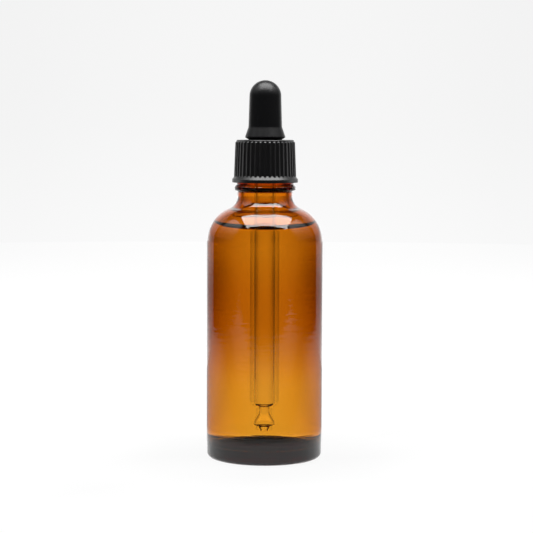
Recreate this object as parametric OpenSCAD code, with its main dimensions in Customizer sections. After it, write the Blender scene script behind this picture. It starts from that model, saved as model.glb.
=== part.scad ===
// Dropper bottle: amber glass bottle with a ribbed screw cap that carries a rubber bulb and a
// glass pipette. The frame is +Z up, with the origin under the middle of the base.

/* [Bottle] */
// Outer diameter of the body
body_d = 37; // [34:0.5:42]
// Height of the rim above the table
rim_z = 99.4; // [97:0.1:104]
// Glass thickness of the side wall
wall = 1.8; // [1.2:0.1:2.4]
// Height of the inside floor at its edge, above the thick base
floor_z = 4.1; // [4:0.1:6]
// Rise of the inside floor towards its middle
floor_rise = 1.9; // [0:0.1:2.2]
// Radius of the heel, where the wall meets the base
heel_r = 2; // [1.5:0.1:3]
// Rise of the punt under the base
punt_h = 1.6; // [0.8:0.1:2.4]
// Height where the straight wall ends and the shoulder begins
shoulder_z = 69.3; // [66:0.1:70]
// Radius of the shoulder's round
shoulder_r = 11.5; // [10:0.5:12]
// Outer diameter of the neck below the bead
neck_d = 17.5; // [17:0.1:18]
// Diameter of the neck's bore
neck_bore_d = 11.8; // [11:0.1:12.4]
// Outer diameter of the bead under the cap
bead_d = 19.6; // [19:0.1:20]
// Height of the bead's middle
bead_z = 86.4; // [86:0.1:87]

/* [Thread] */
// Rise of the thread in one turn
pitch = 3; // [2.5:0.1:3.2]
// Turns of the thread
turns = 1.5; // [1:0.25:1.75]
// Diameter over the bottle's thread
thread_d = 16.8; // [16.6:0.1:16.9]
// Diameter of the neck between the threads
thread_root_d = 15.6; // [15.2:0.1:15.6]

/* [Cap] */
// Outer diameter over the ribs at the lower end
cap_d = 19.8; // [19.6:0.1:20.4]
// Outer diameter over the ribs at the upper end
cap_top_d = 19.0; // [18.8:0.1:19.6]
// Diameter of the flange around the lower edge
flange_d = 21; // [20.6:0.1:22]
// Height of the cap
cap_h = 13.5; // [13:0.1:14]
// Thickness of the cap's top
cap_top_t = 1.2; // [1:0.1:1.4]
// Number of grip ribs
ribs = 40; // [24:1:48]
// Diameter of the hole that the bulb comes out of
cap_hole_d = 10.6; // [10.4:0.1:11]

/* [Bulb] */
// Diameter of the dome
bulb_d = 10.1; // [9.5:0.1:10.4]
// Diameter of the barrel at its lower end
bulb_low_d = 10.7; // [10.5:0.1:11]
// Diameter of the lip above the cap
lip_d = 12.8; // [12:0.1:14]
// Height of the top above the table
bulb_top_z = 120.6; // [119:0.1:124]
// Thickness of the rubber wall
rubber_t = 1.1; // [0.8:0.1:1.2]
// Diameter of the sealing flange under the cap
seal_d = 16; // [14:0.1:16]
// Thickness of the sealing flange
seal_t = 1.1; // [0.8:0.1:1.1]

/* [Pipette] */
// Outer diameter of the glass tube
tube_d = 7; // [6.8:0.1:7]
// Inner diameter of the glass tube
tube_bore_d = 4.6; // [4.4:0.1:5.2]
// Height of the tip above the table
tip_z = 8.9; // [8:0.1:12]
// Height of the tube's upper end, inside the bulb
tube_top_z = 107; // [105:0.1:110]

/* [Contents] */
// Height of the liquid's surface
level_z = 73.7; // [30:0.1:74]

/* [Hidden] */
$fn = 96;

// Places where one piece meets another
cap_under_z = rim_z + seal_t;
cap_top_z = cap_under_z + cap_top_t;
cap_z = cap_top_z - cap_h;
touch = 0.05;       // room left between a liquid and the glass around it
tube_room = 0.15;   // room left in the liquid around the pipette

// Bottle
body_r = body_d / 2;
shoulder_x = body_r - shoulder_r;
neck_r = neck_d / 2;
bore_r = neck_bore_d / 2;
neck_round = 4.2;   // round between the shoulder and the neck, outside
bore_round = 5;     // the same, inside
bead_round = 0.8;
collar_r = 9.1;     // plain step between the bead and the thread
collar_z = 88.5;
floor_round = 2.2;
foot_w = 2.6;       // width of the ring that the bottle stands on
punt_x = body_r - heel_r - foot_w;
punt_sphere = (pow(punt_x, 2) + pow(punt_h, 2)) / (2 * punt_h);
floor_sphere = (pow(punt_x, 2) + pow(floor_rise, 2)) / (2 * floor_rise);

// Thread: both ridges follow one right-hand helix, the cap's a little below the bottle's
ridge_steps = 24;   // straight pieces in one turn
ridge_root = 0.35;  // how deep a ridge is rooted in its wall
ridge_crest_w = 0.7;
ridge_root_w = 1.8;
ridge_fade = 45;    // degrees over which a ridge rises at its ends
thread_z = 91.6;
cap_thread_r = 8.0;
cap_thread_drop = 1.15;
cap_bore_r = 8.55;

// Cap
lip_h = 0.7;
flange_h = 1.9;
flange_bore_r = 9.35;
flange_bore_h = 1.5;
chamfer = 0.35;
rib_r = 0.36;
rib_depth = 0.22;
rib_sink = 0.03;    // how far a rib's crest stays inside the cap's outer skin

// Bulb
dome_r = bulb_d / 2;
dome_z = bulb_top_z - dome_r;
flare_z = 105.7;
lip_z = 102.5;
lip_t = 0.25;
neck_in_cap_r = cap_hole_d / 2 - touch;
grip_top_z = 104;

// Pipette: outer and inner radius at heights above the tip, with smooth curves between them
tube_r = tube_d / 2;
tube_bore_r = tube_bore_d / 2;
tip_outer = [[0, 1.2], [0.7, 2.0], [2.6, 2.65], [6.0, 1.9], [7.0, 2.0], [10.0, tube_r]];
tip_inner = [[0, 0.65], [1.5, 0.6], [2.1, 1.8], [3.2, 1.9], [6.2, 1.1], [7.8, 1.2], [9.5, tube_bore_r]];
curve_steps = 6;
tip_room = 0.6;     // room left in the liquid under the tip

// Where two outside rounds meet: the middle of a round of radius r2 that touches the circle of
// radius r1 around [x1, z1] from outside, and stands at x2
function beside(x1, z1, r1, x2, r2) = [x2, z1 + sqrt(pow(r1 + r2, 2) - pow(x2 - x1, 2))];

// The point where those two circles touch
function touching(x1, z1, r1, p, r2) = [x1 + (p[0] - x1) * r1 / (r1 + r2), z1 + (p[1] - z1) * r1 / (r1 + r2)];

// Points along a chain of [height, radius] stations, level at every station
function eased(list, z0, gap) = concat(
    [for (i = [0 : len(list) - 2], k = [0 : curve_steps - 1])
        let (t = k / curve_steps, s = (1 - cos(180 * t)) / 2)
        [list[i][1] + (list[i + 1][1] - list[i][1]) * s - gap,
         z0 + list[i][0] + (list[i + 1][0] - list[i][0]) * t]],
    [[list[len(list) - 1][1] - gap, z0 + list[len(list) - 1][0]]]);

// A half outline: a shoulder round with a hollow round up to a straight neck of radius nx
module shoulder_outline(round_r, nx, fillet, top_z) {
    hollow = beside(shoulder_x, shoulder_z, round_r, nx + fillet, fillet);
    joint = touching(shoulder_x, shoulder_z, round_r, hollow, fillet);
    translate([0, shoulder_z - 1]) square([shoulder_x + round_r, 1]);
    intersection() {
        translate([shoulder_x, shoulder_z]) circle(round_r);
        translate([0, shoulder_z]) square([shoulder_x + round_r, round_r]);
    }
    translate([0, shoulder_z]) square([shoulder_x, round_r]);
    translate([0, shoulder_z]) square([nx, top_z - shoulder_z]);
    difference() {
        polygon([[shoulder_x, shoulder_z], joint, hollow, [0, hollow[1]], [0, shoulder_z]]);
        translate(hollow) circle(fillet);
    }
}

// The space inside the bottle, made smaller by gap, up to the height top
module inside_outline(gap, top) {
    r = body_r - wall - gap;
    intersection() {
        union() {
            shoulder_outline(shoulder_r - wall - gap, bore_r - gap, bore_round, rim_z + 1);
            translate([0, floor_z + floor_round]) square([r, shoulder_z - floor_z - floor_round]);
            translate([0, floor_z + gap]) square([r - floor_round, floor_round]);
            translate([r - floor_round, floor_z + floor_round]) intersection() {
                circle(floor_round - gap);
                translate([0, -floor_round]) square([floor_round, floor_round]);
            }
            translate([r - floor_round - 1, floor_z + floor_round - 1]) square([1, 1]);
        }
        difference() {
            square([body_r, top]);
            translate([0, floor_z + floor_rise + gap - floor_sphere]) circle(floor_sphere);
        }
    }
}

// A ridge along a right-hand helix, from its root buried in the wall to its crest. It dives into
// the wall at both ends.
module ridge(wall_r, crest_r, z0) {
    last = round(turns * ridge_steps);
    sign = crest_r > wall_r ? 1 : -1;
    fade_steps = ridge_fade * ridge_steps / 360;
    root = wall_r - sign * ridge_root;
    buried = wall_r - sign * ridge_root / 2;
    points = [for (i = [0 : last])
        let (
            a = i * 360 / ridge_steps,
            z = z0 + pitch * i / ridge_steps,
            grown = min(1, i / fade_steps, (last - i) / fade_steps),
            crest = buried + (crest_r - buried) * grown
        )
        each [for (p = [[root, -ridge_root_w / 2], [crest, -ridge_crest_w / 2],
                        [crest, ridge_crest_w / 2], [root, ridge_root_w / 2]])
            [p[0] * cos(a), p[0] * sin(a), z + p[1]]]];
    sides = [for (i = [0 : last - 1], k = [0 : 3])
        let (a = 4 * i + k, b = 4 * i + (k + 1) % 4)
        each sign > 0 ? [[b, b + 4, a], [b + 4, a + 4, a]] : [[a, b + 4, b], [a, a + 4, b + 4]]];
    start = sign > 0 ? [3, 2, 1, 0] : [0, 1, 2, 3];
    end = [for (k = start) 4 * last + 3 - k];
    polyhedron(points, concat(sides, [start, end]), convexity = 6);
}

module bottle() {
    color([0.62, 0.30, 0.02, 0.55]) {
        rotate_extrude() difference() {
            union() {
                shoulder_outline(shoulder_r, neck_r, neck_round, bead_z);
                translate([0, heel_r]) square([body_r, shoulder_z - heel_r]);
                square([body_r - heel_r, heel_r]);
                translate([body_r - heel_r, heel_r]) circle(heel_r);
                translate([bead_d / 2 - bead_round, bead_z]) circle(bead_round);
                square([collar_r, bead_z]);
                square([collar_r, collar_z]);
                square([thread_root_d / 2, rim_z]);
            }
            inside_outline(0, rim_z + 1);
            translate([0, punt_h - punt_sphere]) circle(punt_sphere);
            translate([-body_r, -1]) square([body_r, rim_z + 2]);
        }
        ridge(thread_root_d / 2, thread_d / 2, thread_z);
    }
}

module liquid_fill() {
    color([0.95, 0.93, 0.86, 0.5]) rotate_extrude() difference() {
        inside_outline(touch, level_z);
        translate([0, tip_z - tip_room]) square([tube_r + tube_room, level_z]);
    }
}

module glass_pipette() {
    color([0.9, 0.93, 0.93, 0.5]) rotate_extrude() difference() {
        polygon(concat([[0, tip_z]], eased(tip_outer, tip_z, 0), [[tube_r, tube_top_z], [0, tube_top_z]]));
        polygon(concat([[-1, tip_z - 1], [tip_inner[0][1], tip_z - 1]], eased(tip_inner, tip_z, 0),
                       [[tube_bore_r, tube_top_z + 1], [-1, tube_top_z + 1]]));
    }
}

module drawn_liquid() {
    color([0.95, 0.93, 0.86, 0.5]) rotate_extrude()
        polygon(concat([[0, tip_z]], eased(tip_inner, tip_z, touch), [[tube_bore_r - touch, level_z], [0, level_z]]));
}

// The cap's outer skin: depth is how far the ribs' grooves go in
module cap_outline(depth) {
    low = cap_d / 2 - depth;
    high = cap_top_d / 2 - depth;
    polygon([[0, cap_z], [flange_d / 2, cap_z], [flange_d / 2, cap_z + lip_h], [low, cap_z + flange_h],
             [high, cap_top_z - 2 * chamfer], [cap_top_d / 2 - 2 * chamfer, cap_top_z], [0, cap_top_z]]);
}

module cap_ribs() {
    reach = cap_top_z - cap_z;
    lean = atan((cap_d - cap_top_d) / 2 / (reach - flange_h));
    for (i = [0 : ribs - 1]) rotate(i * 360 / ribs)
        translate([cap_d / 2 - rib_r - rib_sink, 0, cap_z + lip_h]) rotate([0, -lean, 0])
            cylinder(r = rib_r, h = reach, $fn = 24);
}

module screw_cap() {
    color([0.04, 0.04, 0.045]) {
        difference() {
            union() {
                rotate_extrude() cap_outline(rib_depth);
                intersection() {
                    rotate_extrude() cap_outline(0);
                    cap_ribs();
                }
            }
            translate([0, 0, cap_z - 1]) cylinder(r = cap_bore_r, h = cap_under_z - cap_z + 1);
            translate([0, 0, cap_z - 1]) cylinder(r = flange_bore_r, h = flange_bore_h + 1);
            translate([0, 0, cap_z]) cylinder(d = cap_hole_d, h = cap_h + 1);
        }
        ridge(cap_bore_r, cap_thread_r, thread_z - cap_thread_drop);
    }
}

module rubber_bulb() {
    hollow_r = dome_r - rubber_t;
    hollow_low_r = bulb_low_d / 2 - rubber_t;
    color([0.07, 0.07, 0.075]) rotate_extrude() difference() {
        union() {
            translate([0, dome_z]) intersection() {
                circle(dome_r);
                square(dome_r);
            }
            polygon([[0, lip_z], [lip_d / 2, lip_z], [lip_d / 2, lip_z + lip_t],
                     [bulb_low_d / 2, flare_z], [dome_r, dome_z], [0, dome_z]]);
            polygon([[0, cap_top_z], [neck_in_cap_r, cap_top_z + touch], [lip_d / 2, lip_z], [0, lip_z]]);
            translate([0, rim_z]) square([neck_in_cap_r, cap_top_z + touch - rim_z]);
            translate([0, rim_z]) square([seal_d / 2, seal_t]);
        }
        translate([-1, rim_z - 1]) square([tube_r + 1, grip_top_z - rim_z + 1]);
        polygon([[-1, grip_top_z], [tube_r, grip_top_z], [hollow_low_r, grip_top_z + 1], [hollow_low_r, flare_z],
                 [hollow_r, dome_z], [-1, dome_z]]);
        translate([0, dome_z]) circle(hollow_r);
        translate([-dome_r - 1, rim_z - 1]) square([dome_r + 1, bulb_top_z]);
    }
}

bottle();
liquid_fill();
glass_pipette();
drawn_liquid();
screw_cap();
rubber_bulb();
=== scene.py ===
"""Dropper bottle: amber glass bottle, clear liquid, ribbed screw cap, rubber bulb and glass pipette,
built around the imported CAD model. Lengths in the outlines are millimetres from the base's middle."""

import math

import bpy
import numpy as np
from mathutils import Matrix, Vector


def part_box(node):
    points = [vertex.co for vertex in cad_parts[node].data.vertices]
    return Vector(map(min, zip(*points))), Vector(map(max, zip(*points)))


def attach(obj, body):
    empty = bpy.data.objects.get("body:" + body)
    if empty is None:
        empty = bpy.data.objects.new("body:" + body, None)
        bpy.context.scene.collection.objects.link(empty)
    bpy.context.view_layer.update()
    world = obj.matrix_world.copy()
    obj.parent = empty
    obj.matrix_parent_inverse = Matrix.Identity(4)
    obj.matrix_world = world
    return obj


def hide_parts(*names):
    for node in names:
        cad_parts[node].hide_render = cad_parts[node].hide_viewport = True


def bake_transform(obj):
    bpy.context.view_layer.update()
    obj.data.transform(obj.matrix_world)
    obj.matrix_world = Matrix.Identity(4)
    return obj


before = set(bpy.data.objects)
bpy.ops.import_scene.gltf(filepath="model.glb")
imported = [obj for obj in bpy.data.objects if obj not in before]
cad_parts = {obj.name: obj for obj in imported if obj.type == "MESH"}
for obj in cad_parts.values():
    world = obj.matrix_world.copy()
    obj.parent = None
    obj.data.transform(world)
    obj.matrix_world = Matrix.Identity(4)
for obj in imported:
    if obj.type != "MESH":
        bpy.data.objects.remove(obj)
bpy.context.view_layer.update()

MM = 0.001


def node_mm(node):
    """A CAD node's greatest radius, lowest and highest point, in millimetres."""
    low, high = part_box(node)
    return (high.x - low.x) / 2 / MM, low.z / MM, high.z / MM


# ---------------------------------------------------------------- sizes

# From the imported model
BODY_R, _, RIM_Z = node_mm("bottle")
FLANGE_R, CAP_Z, CAP_TOP_Z = node_mm("screw_cap")
SEAL_R, SEAL_Z, BULB_TOP_Z = node_mm("rubber_bulb")
TUBE_R, TIP_Z, TUBE_TOP_Z = node_mm("glass_pipette")
COLUMN_R, _, LEVEL_Z = node_mm("drawn_liquid")
BORE_R = COLUMN_R + 0.22

# The bottle's glass
WALL = 1.8
THIN_WALL = 1.35
FLOOR_Z = 4.1
FLOOR_RISE = 3.1
FLOOR_R = 14.6
PUNT_R, PUNT_RISE = 13.8, 1.6
HEEL_R = 1.5
BASE_R = BODY_R - 0.12
SHOULDER_Z = 69.3
SHOULDER_R = 11.5
NECK_R, NECK_ROUND = 8.75, 4.2
NECK_BORE_R = 5.9
NECK_IN_R, NECK_IN_ROUND = 6.9, 5.0
BEAD_R, BEAD_Z = 9.8, 85.6
LEDGE_R = 9.1
THREAD_ROOT_R = 7.8
THREAD_Z, THREAD_H = 91.6, 0.6

# The cap, and the thread that it shares with the neck
CAP_THREAD_R, CAP_THREAD_Z, CAP_THREAD_H = 8.55, 90.45, 0.5
PITCH = 3.0
TURNS = 1.5
RIBS = 40

# The liquid's edge, and how far its flat part lies below it
MENISCUS = 2.8
EDGE_Z = LEVEL_Z + 1.5

# Refractive indices, and the ratios set where glass meets liquid
GLASS, LIQUID = 1.52, 1.333
WET_FLOOR, WET_TUBE, WET_BORE = 1.02, 1.07, 1.25


# ---------------------------------------------------------------- mesh tools

def rounded(corners, step=0.5, arc_step=0.12):
    """An outline through (radius, height, round) corners: each corner is turned into an arc of that
    radius, and straight stretches are divided into pieces no longer than step."""
    points = [np.array(c[:2], float) for c in corners]
    out = [points[0]]

    def straight_to(q, longest):
        p = out[-1]
        count = max(1, math.ceil(np.linalg.norm(q - p) / longest))
        out.extend(p + (q - p) * i / count for i in range(1, count + 1))

    for i in range(1, len(points) - 1):
        here, radius = points[i], corners[i][2]
        back, ahead = points[i - 1] - here, points[i + 1] - here
        back, ahead = back / np.linalg.norm(back), ahead / np.linalg.norm(ahead)
        half = math.acos(max(-1, min(1, float(back @ ahead)))) / 2
        if radius <= 0 or half > math.pi / 2 - 1e-4:
            straight_to(here, step)
            continue
        reach = radius / math.tan(half)
        middle = here + (back + ahead) / np.linalg.norm(back + ahead) * radius / math.sin(half)
        first, last = here + back * reach, here + ahead * reach
        straight_to(first, step)
        turn = math.pi - 2 * half
        count = max(3, math.ceil(turn * radius / arc_step / max(1, radius ** 0.5)))
        start = first - middle
        side = math.copysign(1, float(start[0] * (last - middle)[1] - start[1] * (last - middle)[0]))
        for k in range(1, count + 1):
            a = side * turn * k / count
            c, s = math.cos(a), math.sin(a)
            out.append(middle + np.array([c * start[0] - s * start[1], s * start[0] + c * start[1]]))
    straight_to(points[-1], step)
    return [(float(p[0]), float(p[1])) for p in out]


def lathe(name, outline, segments, materials, shape=None, pick=None, loop=False):
    """A closed mesh turned from an outline in millimetres, given in the order that has the material
    on its left. shape(r, z, angle) may change it, and pick(r, z) gives a face its material."""
    rows = []
    verts = []
    angles = np.arange(segments) * 2 * math.pi / segments
    for r, z in outline:
        if r < 1e-6:
            rows.append([len(verts)] * segments)
            verts.append((0.0, 0.0, z * MM))
            continue
        rr, zz = np.full(segments, r), np.full(segments, z)
        if shape:
            rr, zz = shape(rr, zz, angles)
        rows.append(list(range(len(verts), len(verts) + segments)))
        verts.extend(zip(rr * np.cos(angles) * MM, rr * np.sin(angles) * MM, zz * MM))
    faces, slots = [], []
    pairs = list(zip(range(len(rows) - 1), range(1, len(rows))))
    if loop:
        pairs.append((len(rows) - 1, 0))
    for a, b in pairs:
        low, high = rows[a], rows[b]
        mid_r, mid_z = (outline[a][0] + outline[b][0]) / 2, (outline[a][1] + outline[b][1]) / 2
        index = pick(mid_r, mid_z) if pick else 0
        for k in range(segments):
            n = (k + 1) % segments
            face = [low[k], low[n], high[n], high[k]]
            face = [v for i, v in enumerate(face) if v != face[i - 1]]
            faces.append(face)
            slots.append(index)
    mesh = bpy.data.meshes.new(name)
    mesh.from_pydata(verts, [], faces)
    mesh.polygons.foreach_set("material_index", slots)
    mesh.polygons.foreach_set("use_smooth", [True] * len(faces))
    for material in materials:
        mesh.materials.append(material)
    mesh.update()
    obj = bpy.data.objects.new(name, mesh)
    bpy.context.scene.collection.objects.link(obj)
    return obj


def smoothstep(x, low, high):
    """A smooth rise from 0 at low to 1 at high."""
    t = np.clip((x - low) / (high - low), 0, 1)
    return t * t * (3 - 2 * t)


def along(x, stations):
    """The value at x on straight lines through (place, value) stations."""
    return np.interp(x, *zip(*stations))


def grid_faces(rows, columns):
    """The quads of a grid whose vertices go row by row."""
    return [(j * columns + i, j * columns + i + 1, (j + 1) * columns + i + 1, (j + 1) * columns + i)
            for j in range(rows - 1) for i in range(columns - 1)]


# ---------------------------------------------------------------- materials

def new_material(name, **values):
    """A Principled material with values set on the shader's own sockets."""
    material = bpy.data.materials.new(name)
    material.use_nodes = True
    shader = material.node_tree.nodes["Principled BSDF"]
    for key, value in values.items():
        shader.inputs[key.replace("_", " ")].default_value = value
    return material, material.node_tree, shader


def noise_bump(tree, shader, scale, strength, distance, detail=3.0, stretch=(1, 1, 1)):
    """Fine relief on the shader's normal, from noise in the object's own coordinates (metres)."""
    place = tree.nodes.new("ShaderNodeTexCoord")
    size = tree.nodes.new("ShaderNodeMapping")
    size.inputs["Scale"].default_value = stretch
    noise = tree.nodes.new("ShaderNodeTexNoise")
    noise.inputs["Scale"].default_value = scale
    noise.inputs["Detail"].default_value = detail
    bump = tree.nodes.new("ShaderNodeBump")
    bump.inputs["Strength"].default_value = strength
    bump.inputs["Distance"].default_value = distance
    tree.links.new(place.outputs["Object"], size.inputs["Vector"])
    tree.links.new(size.outputs["Vector"], noise.inputs["Vector"])
    tree.links.new(noise.outputs["Fac"], bump.inputs["Height"])
    tree.links.new(bump.outputs["Normal"], shader.inputs["Normal"])


def clear_medium(name, color, density):
    """A clear solid that absorbs light. Each face carries the ratio of the indices on its two sides."""
    material, tree, shader = new_material(
        name, Base_Color=(1, 1, 1, 1), Roughness=0.0, Transmission_Weight=1.0)
    index = tree.nodes.new("ShaderNodeAttribute")
    index.attribute_name = "index"
    tree.links.new(index.outputs["Fac"], shader.inputs["IOR"])
    absorb = tree.nodes.new("ShaderNodeVolumeAbsorption")
    absorb.inputs["Color"].default_value = color
    absorb.inputs["Density"].default_value = density
    tree.links.new(absorb.outputs["Volume"], tree.nodes["Material Output"].inputs["Volume"])
    return material, tree, shader


def amber_glass():
    material, tree, shader = clear_medium("amber_glass", color=(0.884, 0.672, 0.0, 1), density=1600)
    noise_bump(tree, shader, scale=300, strength=0.065, distance=0.0004, detail=2.0,
               stretch=(0.25, 0.25, 3.0))
    return material


def tube_glass():
    material, tree, shader = clear_medium("clear_glass", color=(0.3, 0.45, 0.4, 1), density=35)
    noise_bump(tree, shader, scale=400, strength=0.006, distance=0.0002, detail=1.0,
               stretch=(1, 1, 0.1))
    return material


def set_index(obj, index):
    """Store a ratio on every face, from index(radius, height) of its middle in millimetres."""
    mesh = obj.data
    levels = [index(math.hypot(p.center.x, p.center.y) / MM, p.center.z / MM) for p in mesh.polygons]
    mesh.attributes.new("index", "FLOAT", "FACE").data.foreach_set("value", levels)


def liquid_surface(name, ior):
    """A boundary of the liquid. At the glass the ratio is 1, because the glass carries the whole step."""
    material, tree, shader = new_material(
        name, Base_Color=(1, 1, 1, 1), Roughness=0.0, IOR=ior, Transmission_Weight=1.0)
    noise_bump(tree, shader, scale=150, strength=0.004, distance=0.0003, detail=1.0)
    return material


def black_plastic():
    material, tree, shader = new_material(
        "black_plastic", Base_Color=(0.005, 0.005, 0.0055, 1), Roughness=0.37, IOR=1.49)
    noise_bump(tree, shader, scale=5000, strength=0.08, distance=0.00002)
    return material


def black_rubber():
    material, tree, shader = new_material(
        "black_rubber", Base_Color=(0.004, 0.004, 0.0045, 1), Roughness=0.36, IOR=1.5,
        Specular_IOR_Level=0.32)
    noise_bump(tree, shader, scale=6000, strength=0.25, distance=0.00003)
    return material


# ---------------------------------------------------------------- pieces

def tangent_corners(big_r, small_x, small_r):
    """The two corners of a shoulder whose rounds, big_r below and small_r above, meet smoothly."""
    x0 = BODY_R - SHOULDER_R
    dx = small_x + small_r - x0
    dz = math.sqrt((big_r + small_r) ** 2 - dx ** 2)
    nx, nz = dx / (big_r + small_r), dz / (big_r + small_r)
    jx, jz = x0 + nx * big_r, SHOULDER_Z + nz * big_r
    low_x = x0 + big_r
    return (low_x, jz - (low_x - jx) * nx / nz, big_r), (small_x, jz + (jx - small_x) * nx / nz, small_r)


def helix_ridge(r, z, angle, height, z0, half_crest=0.35, half_foot=0.75):
    """Radius added by a thread that climbs PITCH in a turn for TURNS turns from z0."""
    added = np.zeros_like(r)
    for turn in range(-1, int(TURNS) + 2):
        at = angle / (2 * math.pi) + turn
        middle = z0 + at * PITCH
        away = np.abs(z - middle)
        bump = 1 - smoothstep(away, half_crest, half_foot)
        ends = smoothstep(at, 0, 0.12) * (1 - smoothstep(at, TURNS - 0.12, TURNS))
        added = np.maximum(added, bump * ends * height)
    return added


def inside_low(into):
    """Corners of the inside from the shoulder's foot to the floor, into millimetres out into the
    glass. The wall is thickest at mid height and thinnest near the floor."""
    bend, corner = 9.0, 1.2
    wall = [(WALL, 66), (2.05, 52), (2.05, 42), (1.42, 24), (THIN_WALL, 12)]
    side = [(BODY_R - thick + into, z, bend) for thick, z in wall]
    return [*side, (BODY_R - THIN_WALL + into, FLOOR_Z - into, corner), *dome(into)]


def dome(into):
    """The inside floor, which rises towards its middle."""
    return [(FLOOR_R * t, FLOOR_Z + FLOOR_RISE * (1 - t * t) - into, 0) for t in np.linspace(1, 0, 30)]


def bottle_outline():
    """From the middle of the punt, up the outside, over the rim and down the inside."""
    low, high = tangent_corners(SHOULDER_R, NECK_R, NECK_ROUND)
    in_low, in_high = tangent_corners(SHOULDER_R - WALL, NECK_IN_R, NECK_IN_ROUND)
    punt = [(PUNT_R * t, PUNT_RISE * (1 - t * t), 0) for t in np.linspace(0, 1, 28)[:-1]]
    foot = [(PUNT_R + 0.15, 0.02, 0.5), (BASE_R, 0, HEEL_R), (BASE_R, 4.0, 3.0), (BODY_R, 6.5, 3.0)]
    bead = [(NECK_R, BEAD_Z - 0.05, 0.35), (BEAD_R, BEAD_Z, 0.7), (BEAD_R, BEAD_Z + 1.65, 0.75)]
    ledge = [(LEDGE_R, BEAD_Z + 1.7, 0.3), (LEDGE_R, BEAD_Z + 2.9, 0.3)]
    rim = [(THREAD_ROOT_R, BEAD_Z + 3.4, 0.6), (THREAD_ROOT_R, RIM_Z, 0.6), (NECK_BORE_R, RIM_Z, 0.5)]
    bore = [(NECK_BORE_R, BEAD_Z + 1.8, 2.0), (NECK_IN_R, BEAD_Z - 0.2, 2.0)]
    corners = [*punt, *foot, low, high, *bead, *ledge, *rim, *bore, in_high, in_low, *inside_low(0)]
    return rounded(corners, step=0.3)


def make_bottle():
    """The bottle's glass, with the thread on its neck."""
    def threaded(r, z, angle):
        if not (r[0] > NECK_BORE_R + 1.5 and BEAD_Z + 3.7 < z[0] < RIM_Z - 0.3):
            return r, z
        return r + helix_ridge(r, z, angle, THREAD_H, THREAD_Z), z

    bottle = lathe("bottle_glass", bottle_outline(), 256, [amber_glass()], threaded)
    set_index(bottle, skin_index)
    return bottle


def skin_index(r, z):
    """Ratio of the indices on the bottle's skin. On the floor it is close to 1, for a dark base."""
    if not wetted(r, z):
        return GLASS
    on_floor = r < FLOOR_R + 0.8 and z < FLOOR_Z + FLOOR_RISE + 0.2
    return WET_FLOOR if on_floor else GLASS / LIQUID


def wetted(r, z):
    """Whether a point of the bottle's skin is inside, below the edge of the liquid."""
    if z > EDGE_Z or z < FLOOR_Z - 0.2:
        return False
    return r < (inner_wall(z) if z > SHOULDER_Z else BODY_R - THIN_WALL + 0.15) + 0.2


def inner_wall(z):
    """Radius of the bottle's inside at a height on the shoulder."""
    return BODY_R - SHOULDER_R + math.sqrt((SHOULDER_R - WALL) ** 2 - (z - SHOULDER_Z) ** 2)


def liquid_top(edge_r, level):
    """The free surface from its edge to the middle, drawn up the bottle and, a little, the pipette."""
    fade, shape = 1.8, 0.9
    collar = 1.1
    top = []
    for t in np.linspace(0, 1, 120)[1:]:
        r = edge_r * (1 - t ** 1.6)
        lift = MENISCUS * math.exp(-((edge_r - r) / fade) ** shape)
        lift += collar * math.exp(-abs(r - TUBE_R) / collar) * (r > BORE_R + 0.4)
        top.append((max(r, 0), level + 0.99 * lift))
    return top


def make_liquid():
    """The liquid in the bottle, with its edge drawn up the glass. It runs under the pipette."""
    into = 0.04
    level = EDGE_Z - MENISCUS
    side = rounded([*inside_low(into)[::-1], (BODY_R - WALL + into, SHOULDER_Z, 0)], step=0.6)
    bend_r = SHOULDER_R - WALL + into
    last = math.asin((EDGE_Z - SHOULDER_Z) / (SHOULDER_R - WALL))
    bend = [(BODY_R - SHOULDER_R + bend_r * math.cos(a), SHOULDER_Z + bend_r * math.sin(a))
            for a in np.linspace(0, last, 24)[1:]]
    top = liquid_top(inner_wall(EDGE_Z) + into, level)
    free = liquid_surface("liquid_free_surface", LIQUID)
    neutral = liquid_surface("liquid_at_glass", 1.0)

    def pick(r, z):
        return int(z < level - 0.4 or r > inner_wall(z) - 0.02 or r < (TUBE_R + BORE_R) / 2)

    return lathe("liquid", side + bend + top, 192, [free, neutral], pick=pick)


def tip_curve(stations, steps=12):
    """Points through (height above the tip, radius) stations, level at each one."""
    out = []
    for (z0, r0), (z1, r1) in zip(stations, stations[1:]):
        for k in range(steps):
            t = k / steps
            out.append((r0 + (r1 - r0) * (1 - math.cos(math.pi * t)) / 2, TIP_Z + z0 + (z1 - z0) * t))
    return out + [(stations[-1][1], TIP_Z + stations[-1][0])]


TIP_OUTER = [(0, 1.2), (0.7, 2.0), (2.6, 2.65), (5.6, 1.85), (7.0, 2.0), (9.8, TUBE_R)]


def tip_bore():
    """The inside of the drawn-out tip: a nozzle, a wide chamber, a waist and the round end of the bore."""
    corners = [(0.75, 0, 0), (1.3, 1.65, 0.15), (2.55, 2.0, 0.5), (2.45, 3.2, 1.5), (1.25, 5.7, 2.0),
               (1.2, 8.1, 0.12), (BORE_R, 8.35, 1.45), (BORE_R, 10.9, 0)]
    return rounded([(r, TIP_Z + z, turn) for r, z, turn in corners], step=0.4, arc_step=0.08)


def pipette_index():
    """A function that gives the ratio of the indices on the pipette's skin at a radius and height. It
    is weakest where liquid wets the outside."""
    curves = [np.array(c)[:, ::-1].T for c in (tip_curve(TIP_OUTER), tip_bore())]

    def index(r, z):
        if z > LEVEL_Z + 0.6:
            return GLASS
        middle = sum(np.interp(z, *c) for c in curves) / 2
        return WET_BORE if r < middle else WET_TUBE

    return index


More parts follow.
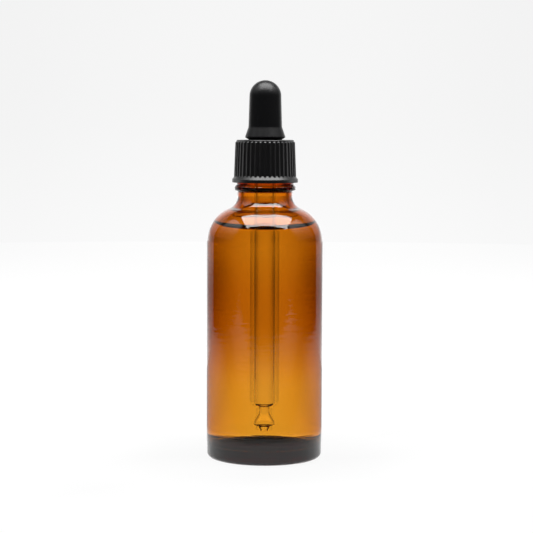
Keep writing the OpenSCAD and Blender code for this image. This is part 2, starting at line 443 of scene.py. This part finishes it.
def make_pipette():
    """The glass tube with its drawn-out tip."""
    lip = 0.12
    outer = tip_curve(TIP_OUTER)
    inner = tip_bore()
    tube = np.arange(TIP_Z + 11, TUBE_TOP_Z - 0.3, 1.5)
    top = rounded([(TUBE_R, TUBE_TOP_Z - 1, 0), (TUBE_R, TUBE_TOP_Z, 0.4), (BORE_R, TUBE_TOP_Z, 0.4),
                   (BORE_R, TUBE_TOP_Z - 1, 0)])
    outline = [(outer[0][0] - lip, TIP_Z), (outer[0][0], TIP_Z + lip)] + outer[1:]
    outline += [(TUBE_R, z) for z in tube] + top + [(BORE_R, z) for z in tube[::-1]]
    outline += inner[:0:-1] + [(inner[0][0], TIP_Z + lip), (inner[0][0] + lip, TIP_Z)]
    pipette = lathe("pipette", outline, 96, [tube_glass()], loop=True)
    set_index(pipette, pipette_index())
    return pipette


def make_column():
    """The liquid that stands in the pipette, a little higher than in the bottle."""
    climb, rise = 1.2, 0.9
    r0 = BORE_R + 0.01
    side = [(0, TIP_Z)] + [(r + 0.01, z) for r, z in tip_bore()]
    side += [(r0, z) for z in np.linspace(TIP_Z + 11, LEVEL_Z + climb + rise, 40)]
    top = []
    for t in np.linspace(0, 1, 18)[1:]:
        bowl = 1 - 0.98 * math.sqrt(max(0, 1 - (1 - t) ** 2))
        top.append((r0 * (1 - t), LEVEL_Z + climb + rise * bowl))
    free = liquid_surface("column_free_surface", LIQUID)
    neutral = liquid_surface("column_at_glass", 1.0)

    def pick(r, z):
        return int(z <= LEVEL_Z + climb - 0.05 or r >= r0 - 0.02)

    return lathe("liquid_column", side + top, 72, [free, neutral], pick=pick)


def make_cap():
    """The screw cap, with a flange, ribs that stand on its leaning skirt, and a thread inside."""
    low_r, high_r, depth, rib_r = 9.9, 9.5, 0.34, 0.46
    entry_r, hole_r, lid = 9.35, 5.3, 1.2
    foot_z, slope_z, high_z = CAP_Z + 1.0, CAP_Z + 2.1, CAP_TOP_Z - 0.9
    lean = (low_r - high_r) / (high_z - slope_z)
    pitch = 2 * math.pi * low_r / RIBS

    def skin(z):
        return low_r - (z - slope_z) * lean

    foot = rounded([(entry_r, CAP_Z + 1.5, 0.15), (entry_r, CAP_Z, 0.15), (FLANGE_R, CAP_Z, 0.15),
                    (FLANGE_R, foot_z, 0.15), (skin(slope_z + 0.1) - depth, slope_z + 0.1, 0.1),
                    (skin(slope_z + 1.0) - depth, slope_z + 1.0, 0)], step=0.06, arc_step=0.05)
    skirt = [(skin(z) - depth, z) for z in np.linspace(slope_z + 1.0, high_z, 30)[1:]]
    top_r = skin(high_z) - depth
    rim = rounded([(top_r, high_z, 0), (top_r - 0.02, CAP_TOP_Z, 0.3),
                   (hole_r, CAP_TOP_Z, 0.2), (hole_r, CAP_TOP_Z - lid, 0.1),
                   (CAP_THREAD_R, CAP_TOP_Z - lid, 0.2), (CAP_THREAD_R, CAP_Z + 1.9, 0.2),
                   (entry_r, CAP_Z + 1.5, 0)], step=0.06, arc_step=0.05)
    outline = foot + skirt + rim[1:-1]

    def ribbed(r, z, angle):
        if r[0] > 8.9 and foot_z + 0.05 < z[0] < CAP_TOP_Z - 0.3:
            aside = np.abs((angle * RIBS / (2 * math.pi) + 0.5) % 1 - 0.5) * pitch
            rib = np.sqrt(np.maximum(rib_r ** 2 - aside ** 2, 0)) - (rib_r - depth)
            end = 1 - smoothstep(z, high_z, high_z + 0.5)
            return np.maximum(r, skin(z) - depth + np.maximum(rib, 0) * end), z
        if abs(r[0] - CAP_THREAD_R) < 0.05 and CAP_Z + 2 < z[0] < CAP_TOP_Z - 1.5:
            return r - helix_ridge(r, z, angle, CAP_THREAD_H, CAP_THREAD_Z), z
        return r, z

    return lathe("cap", outline, RIBS * 16, [black_plastic()], ribbed, loop=True)


def make_bulb():
    """The rubber bulb: a dome, a flared lip on the cap, and a seal between the rim and the cap."""
    dome_r, low_r, lip_r, waist_r = 5.05, 5.35, 6.4, 5.25
    thick = 1.1
    dome_z = BULB_TOP_Z - dome_r
    lip_z = CAP_TOP_Z + 0.75
    cavity_z = CAP_TOP_Z + 3.3
    arc = np.linspace(0, math.pi / 2, 28)
    inside = [((dome_r - thick) * math.sin(a), dome_z + (dome_r - thick) * math.cos(a)) for a in arc]
    cavity = [(dome_r - thick, dome_z, 0), (low_r - thick, cavity_z + 1, 2), (low_r - thick, cavity_z, 0.4)]
    grip = [(TUBE_R, cavity_z - 1, 0.4), (TUBE_R, SEAL_Z, 0.2)]
    seal = [(SEAL_R, SEAL_Z, 0.25), (SEAL_R, SEAL_Z + thick, 0.25), (waist_r, SEAL_Z + thick, 0.1)]
    lip = [(waist_r, CAP_TOP_Z + 0.1, 0.2), (lip_r, lip_z, 0.07), (lip_r, lip_z + 0.3, 0.1)]
    outside = [(low_r, lip_z + 3.3, 1.6), (dome_r, dome_z, 0)]
    down = rounded([*cavity, *grip, *seal, *lip, *outside], step=0.4, arc_step=0.08)
    crown = [(dome_r * math.cos(a), dome_z + dome_r * math.sin(a)) for a in arc[1:-1]]
    return lathe("bulb", [*inside, *down[1:], *crown, (0, BULB_TOP_Z)], 128, [black_rubber()])


# ---------------------------------------------------------------- stage, in metres

def glow_material(name):
    """A surface that gives out the radiance stored on its vertices."""
    material = bpy.data.materials.new(name)
    material.use_nodes = True
    tree = material.node_tree
    tree.nodes.clear()
    out = tree.nodes.new("ShaderNodeOutputMaterial")
    glow = tree.nodes.new("ShaderNodeEmission")
    level = tree.nodes.new("ShaderNodeAttribute")
    level.attribute_name = "radiance"
    tree.links.new(level.outputs["Fac"], glow.inputs["Strength"])
    tree.links.new(glow.outputs["Emission"], out.inputs["Surface"])
    return material


def sheet(name, xs, ys, z, radiance, seen_by, material=None):
    """A flat grid at height z, whose radiance(x, y) is stored at each vertex. seen_by names the kinds
    of ray that meet it."""
    verts = [(x, y, z) for y in ys for x in xs]
    levels = [radiance(x, y) for x, y, _ in verts]
    return stage_mesh(name, verts, grid_faces(len(ys), len(xs)), levels, seen_by, material)


def stage_mesh(name, verts, faces, levels, seen_by, material=None):
    """A stage piece with a radiance level on each vertex."""
    mesh = bpy.data.meshes.new(name)
    mesh.from_pydata(verts, [], faces)
    mesh.polygons.foreach_set("use_smooth", [True] * len(faces))
    mesh.attributes.new("radiance", "FLOAT", "POINT").data.foreach_set("value", levels)
    mesh.materials.append(material or glow_material(name))
    obj = bpy.data.objects.new(name, mesh)
    bpy.context.scene.collection.objects.link(obj)
    for kind in ("camera", "diffuse", "glossy", "transmission", "volume_scatter", "shadow"):
        setattr(obj, "visible_" + kind, kind in seen_by)
    return obj


def spread(*stretches):
    """Sorted grid lines from (low, high, count) stretches."""
    lines = {round(float(v), 5) for low, high, count in stretches for v in np.linspace(low, high, count)}
    return sorted(lines)


def painted_light_by_base(away, level):
    """A painted pool of light on the paper right by the base: full within 45 mm of the base's middle, gone
    by 80 mm.
    """
    return level * (1 - float(smoothstep(away, 0.045, 0.08)))


def make_reflected_floor():
    """The paper in front of the bottle and at its sides, as it shows in the reflections. Its stored glow
    paints the light on the paper: a painted shade in a band just in front of the bottle, and a painted pool
    of light right by the base.
    """
    front, level_with_bottle = -0.29, -0.06
    # Painted shade: the glow dips to its lowest from 115 to 60 mm in front of the base's middle.
    by_depth = [(front, 0.36), (-0.25, 0.3), (-0.2, 0.21), (-0.15, 0.16), (-0.115, 0.06),
                (level_with_bottle, 0.06), (-0.05, 0.14), (0, 0.3), (0.05, 0.5), (0.2, 0.6)]
    beside = [(0.15, 1), (0.2, 1.2), (0.31, 1.0), (0.335, 0)]

    def radiance(x, y):
        level = float(along(y, by_depth))
        if y > level_with_bottle:
            level *= float(along(abs(x), beside))
        else:
            level *= 1 + 0.9 * float(smoothstep(abs(x), 0.1, 0.2))
        # Painted light right by the base, laid over the painted shade.
        return max(level, painted_light_by_base(math.hypot(x, y), 1.0))

    xs = spread((-0.36, 0.36, 33), (-0.09, 0.09, 37))
    ys = spread((front, 0.2, 30), (-0.09, 0.09, 37))
    sheet("reflected_floor", xs, ys, 0.0, radiance, ("glossy", "diffuse"))


def make_floor_behind():
    """The paper behind the bottle, as it shows through the glass. Its stored glow paints the light on the
    paper: a painted pool of light round the base, a painted shadow that is black within 26 mm of the base's
    middle, and a painted shade where the glow dips near the bottle.
    """
    front, far = -0.29, 1.05
    # Painted shade: the glow along the depth dips near the bottle, lowest 50 mm in front of its middle.
    by_depth = [(front, 1.0), (-0.12, 0.9), (-0.05, 0.4), (0, 0.7), (0.05, 1.25), (0.2, 1.32),
                (0.3, 1.15), (0.4, 1.05), (0.9, 1.12), (far, 1.3)]
    by_width = [(0, 1), (0.12, 0.94), (0.18, 0.78), (0.23, 0.63), (0.29, 0.53), (0.4, 0.45), (0.9, 0.4)]

    def radiance(x, y):
        away = math.hypot(x, y)
        turned = math.degrees(math.atan2(abs(x), max(y, 1e-3)))
        aside = float(smoothstep(turned, 8, 20))
        level = float(along(y, by_depth)) * float(along(abs(x), by_width))
        level *= (1 - 0.13 * aside) * (1 + 0.65 * aside * float(smoothstep(away, 0.52, 0.9)))
        if away > 0.2:
            level *= 1 - float(smoothstep(turned, 55, 60))
        # Painted light by the base, then a painted shadow: black within 26 mm of the base's middle, fading
        # out by 40 mm.
        return max(level, painted_light_by_base(away, 1.4)) * float(smoothstep(away, 0.026, 0.04))

    xs = spread((-1.1, 1.1, 45), (-0.09, 0.09, 37))
    ys = spread((front, far, 54), (-0.09, 0.09, 37))
    sheet("floor_behind", xs, ys, -0.0002, radiance, ("transmission", "glossy"))


def make_wall_behind():
    """The curved wall of paper behind, bright in the middle and low down."""
    radius = 1.1
    heights = (-0.05, 0.1, 0.2, 0.45, 0.95)
    low = [(0, 1.32), (12, 1.5), (20, 1.65), (27, 1.5), (34, 1.1), (42, 0.75), (50, 0.5), (57, 0.42),
           (60, 0.02)]
    high = [(0, 1.19), (13, 1.15), (20, 1.05), (28, 0.85), (37, 0.6), (50, 0.47), (57, 0.42), (60, 0.02)]
    turns = np.linspace(math.radians(-60), math.radians(60), 61)
    verts = [(radius * math.sin(a), radius * math.cos(a), z) for z in heights for a in turns]
    foot = along(np.abs(np.degrees(turns)), low)
    middle = along(np.abs(np.degrees(turns)), high)
    levels = [*foot, *foot, *middle, *(1.25 * middle), *(0.6 * middle)]
    faces = grid_faces(len(heights), len(turns))
    stage_mesh("wall_behind", verts, faces, levels, ("glossy", "transmission", "diffuse"))


def make_room():
    """The floor and wall of the room in front and at the sides, as they show through the glass."""
    radius, floor_z = 1.09, -0.0001
    outline = [(0.2, floor_z), (0.5, floor_z), (radius, floor_z), (radius, 0.15), (radius, 0.95)]
    turns = np.linspace(math.radians(56), math.radians(304), 63)
    verts = [(r * math.sin(a), r * math.cos(a), z) for r, z in outline for a in turns]
    levels = 0.42 + 0.53 * smoothstep(124 - np.abs(np.degrees(turns) - 180), 0, 40)
    faces = grid_faces(len(outline), len(turns))
    stage_mesh("room_around", verts, faces, [*levels] * len(outline), ("transmission",))


def make_side_cards():
    """Two pale sheets, left and right above the table, that grow brighter upwards. They light the
    sides of the cap, the neck and the shoulder."""
    heights = np.linspace(0.14, 0.75, 13)
    depths = np.linspace(-0.3, 0.3, 13)
    rise = 0.1 + 1.9 * smoothstep(heights, 0.2, 0.7)
    fade = 1 - smoothstep(np.abs(depths), 0.15, 0.3)
    levels = [float(a * b) for a in rise for b in fade]
    for name, x in (("left_card", -0.5), ("right_card", 0.5)):
        verts = [(x, y, z) for z in heights for y in depths]
        stage_mesh(name, verts, grid_faces(len(heights), len(depths)), levels, ("glossy", "diffuse"))


def paper_material():
    """White paper for the camera, which glows with its stored radiance and takes a faint shadow."""
    material, tree, shader = new_material("paper", Base_Color=(0.04, 0.04, 0.04, 1), Roughness=0.9)
    shader.inputs["Specular IOR Level"].default_value = 0.0
    shader.inputs["Emission Color"].default_value = (1, 1, 1, 1)
    level = tree.nodes.new("ShaderNodeAttribute")
    level.attribute_name = "radiance"
    tree.links.new(level.outputs["Fac"], shader.inputs["Emission Strength"])
    return material


def make_backdrop():
    """Plain pale paper all round for the camera alone, glowing with its stored radiance: a floor that takes
    a faint real shadow and carries a painted soft shadow round the base, and a round wall far away. The
    floor's glow is painted dimmer far away and at the sides, and the wall's a shade darker towards its top
    and sides, as painted fall-off of light."""
    far, top = 1.0, 1.0
    half_view = 0.22
    # Painted fall-off of light: the wall's glow grows darker towards the top.
    by_height = [(0, 0.964), (0.05, 0.945), (0.11, 0.925), (0.3, 0.915)]

    def aside(x):
        return min(1, (x / half_view) ** 2)

    def floor_radiance(x, y):
        away = math.hypot(x, y)
        # Painted soft shadow: the glow is lower within 75 mm of the base's middle. Further out it falls off
        # towards the far edge and the sides, as painted fall-off of light.
        near = 0.888 + 0.09 * float(smoothstep(away, 0.02, 0.075))
        return near - 0.03 * float(smoothstep(away, 0.35, far)) * (1 + aside(x))

    def wall_radiance(x, z):
        return float(along(z, by_height)) - 0.026 * aside(x)

    lines = spread((-far, far, 61))
    sheet("paper_floor", lines, lines, -0.0004, floor_radiance, ("camera",), paper_material())
    turns = np.radians(np.arange(0, 361, 3))
    heights = spread((-0.05, 0, 2), (0, 0.3, 13), (0.3, top, 5))
    verts = [(far * math.sin(a), far * math.cos(a), z) for z in heights for a in turns]
    levels = [wall_radiance(x, z) for x, y, z in verts]
    stage_mesh("paper_wall", verts, grid_faces(len(heights), len(turns)), levels, ("camera",))


def make_softbox():
    """A wide soft light overhead, broader towards the camera."""
    height, near, far = 0.72, -0.40, 0.20
    radiance = 9.2
    verts = [(-0.46, near, height), (0.60, near, height), (0.40, far, height), (-0.32, far, height)]
    stage_mesh("softbox", verts, [(0, 3, 2, 1)], [radiance] * 4, ("glossy", "transmission", "diffuse"))


def make_side_lamps(receivers):
    """Two soft lamps, left and right, for the ribs of the cap."""
    radiance = 1.7
    aim = Vector((0, 0, 0.095))
    group = bpy.data.collections.new("lit_from_the_sides")
    for obj in receivers:
        group.objects.link(obj)
    for name, x in (("left_lamp", -0.35), ("right_lamp", 0.35)):
        light = bpy.data.lights.new(name, "AREA")
        light.shape = "RECTANGLE"
        light.size, light.size_y = 0.22, 0.18
        light.energy = radiance * math.pi * light.size * light.size_y
        lamp = bpy.data.objects.new(name, light)
        lamp.location = (x, 0.11, 0.13)
        lamp.rotation_euler = (aim - lamp.location).to_track_quat("-Z", "Y").to_euler()
        lamp.light_linking.receiver_collection = group
        bpy.context.scene.collection.objects.link(lamp)


def make_world():
    """A dim room."""
    world = bpy.data.worlds.new("room")
    world.use_nodes = True
    bpy.context.scene.world = world
    room = world.node_tree.nodes["Background"]
    room.inputs["Color"].default_value = (1, 1, 1, 1)
    room.inputs["Strength"].default_value = 0.02


def make_camera():
    tilt_down, roll = 4.8, -0.22
    data = bpy.data.cameras.new("camera")
    data.sensor_width = 36
    data.lens = 118.6
    data.clip_start = 0.01
    camera = bpy.data.objects.new("camera", data)
    camera.location = (0.00038, -0.560, 0.1083)
    camera.rotation_euler = (math.radians(90 - tilt_down), math.radians(roll), 0)
    bpy.context.scene.collection.objects.link(camera)
    bpy.context.scene.camera = camera


# ---------------------------------------------------------------- assembly

def assemble():
    """Build each piece and hang it on its body."""
    bottle = make_bottle()
    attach(bottle, "bottle")
    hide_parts("bottle")

    liquid = make_liquid()
    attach(liquid, "bottle")
    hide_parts("liquid_fill")

    pipette = make_pipette()
    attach(pipette, "dropper")
    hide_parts("glass_pipette")

    column = make_column()
    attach(column, "dropper")
    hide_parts("drawn_liquid")

    cap = make_cap()
    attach(cap, "cap")
    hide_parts("screw_cap")
    make_side_lamps([cap])

    bulb = make_bulb()
    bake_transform(bulb)
    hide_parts("rubber_bulb")


def light_settings():
    """Enough bounces for light to cross the glass and the liquid."""
    scene = bpy.context.scene
    scene.view_settings.view_transform = "Standard"
    scene.cycles.max_bounces = 32
    scene.cycles.transmission_bounces = 32
    scene.cycles.glossy_bounces = 8
    scene.cycles.use_denoising = True
    scene.cycles.sample_clamp_indirect = 8


make_camera()
assemble()
make_reflected_floor()
make_floor_behind()
make_wall_behind()
make_room()
make_side_cards()
make_backdrop()
make_softbox()
make_world()
light_settings()
